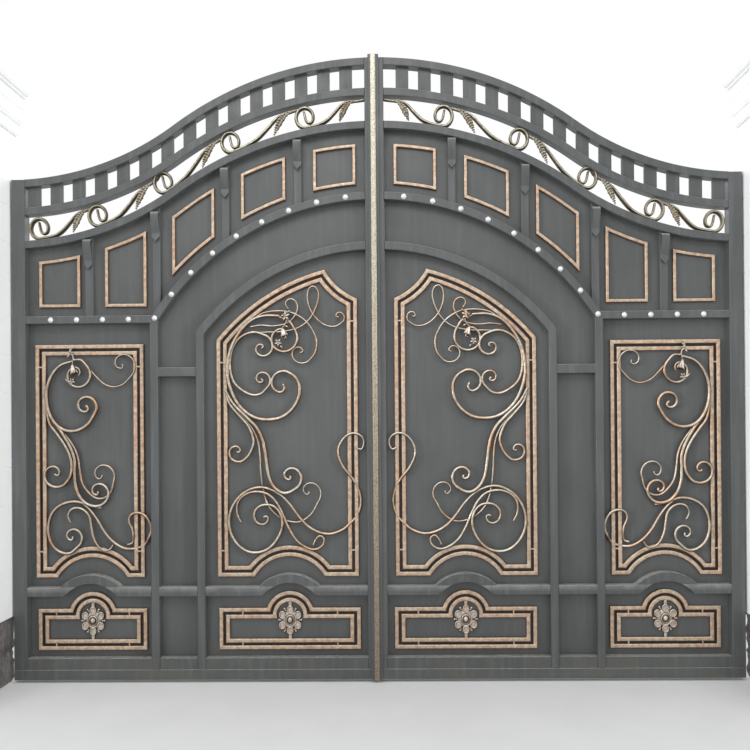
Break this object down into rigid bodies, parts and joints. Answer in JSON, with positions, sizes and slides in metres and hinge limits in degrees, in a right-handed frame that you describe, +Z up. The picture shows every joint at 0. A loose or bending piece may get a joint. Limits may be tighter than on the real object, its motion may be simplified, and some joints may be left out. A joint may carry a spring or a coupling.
{
  "type": "wrought iron driveway gate",
  "caption": "Double-leaf driveway gate of sheeted steel with an arched top, picket rail, copper-toned trim frames and forged scrollwork, hung between masonry piers.",
  "frame": {"origin": "middle of the left pier's foot", "axes": "+X along the gate from the left pier to the right one, front faces -Y, +Z up"},
  "size_m": [4.98, 0.61, 3.302],
  "materials": {
    "frame_paint": "satin grey paint",
    "sheet_paint": "satin grey paint",
    "copper_patina": "copper patina paint over steel",
    "bronze_patina": "rubbed bronze patina over forged steel",
    "strip_gold": "hammered pale gold patina",
    "pier_stucco": "painted cladding with fine block joints",
    "plinth_stone": "dark rough stone"
  },
  "bodies": {
    "piers": {"left_pier_plinth": "plinth_stone", "left_pier_shaft": "pier_stucco", "left_pier_cornice": "pier_stucco", "left_hinge_post": "frame_paint", "right_pier_plinth": "plinth_stone", "right_pier_shaft": "pier_stucco", "right_pier_cornice": "pier_stucco", "right_hinge_post": "frame_paint"},
    "left_leaf": {"left_outer_stile": "frame_paint", "left_meeting_stile": "frame_paint", "left_bottom_rail": "frame_paint", "left_top_rail": "frame_paint", "left_picket_rail": "frame_paint", "left_crest_rail": "frame_paint", "left_crest_scrolls": "bronze_patina", "left_riveted_rail": "frame_paint", "left_mullion": "frame_paint", "left_door_arch": "frame_paint", "left_side_lower_rail": "frame_paint", "left_door_lower_rail": "frame_paint", "left_sheet": "sheet_paint", "left_top_trim_1": "copper_patina", "left_top_trim_2": "copper_patina", "left_top_trim_3": "copper_patina", "left_top_trim_4": "copper_patina", "left_top_trim_5": "copper_patina", "left_side_trim": "copper_patina", "left_door_trim": "copper_patina", "left_side_rosette_trim": "copper_patina", "left_door_rosette_trim": "copper_patina", "left_side_scrolls": "bronze_patina", "left_door_scrolls": "bronze_patina", "left_cover_strip": "frame_paint", "left_cover_bar": "strip_gold"},
    "right_leaf": {"right_outer_stile": "frame_paint", "right_meeting_stile": "frame_paint", "right_bottom_rail": "frame_paint", "right_top_rail": "frame_paint", "right_picket_rail": "frame_paint", "right_crest_rail": "frame_paint", "right_crest_scrolls": "bronze_patina", "right_riveted_rail": "frame_paint", "right_mullion": "frame_paint", "right_door_arch": "frame_paint", "right_side_lower_rail": "frame_paint", "right_door_lower_rail": "frame_paint", "right_sheet": "sheet_paint", "right_top_trim_1": "copper_patina", "right_top_trim_2": "copper_patina", "right_top_trim_3": "copper_patina", "right_top_trim_4": "copper_patina", "right_top_trim_5": "copper_patina", "right_side_trim": "copper_patina", "right_door_trim": "copper_patina", "right_side_rosette_trim": "copper_patina", "right_door_rosette_trim": "copper_patina", "right_side_scrolls": "bronze_patina", "right_door_scrolls": "bronze_patina"}
  },
  "joints": [
    {"name": "left_leaf_swing", "type": "hinge", "parent": "piers", "child": "left_leaf", "pos_m": [0.28, 0.26, 0], "axis": [0, 0, 1], "range_deg": [0, 90]},
    {"name": "right_leaf_swing", "type": "hinge", "parent": "piers", "child": "right_leaf", "pos_m": [4.09, 0.26, 0], "axis": [0, 0, -1], "range_deg": [0, 90]}
  ]
}
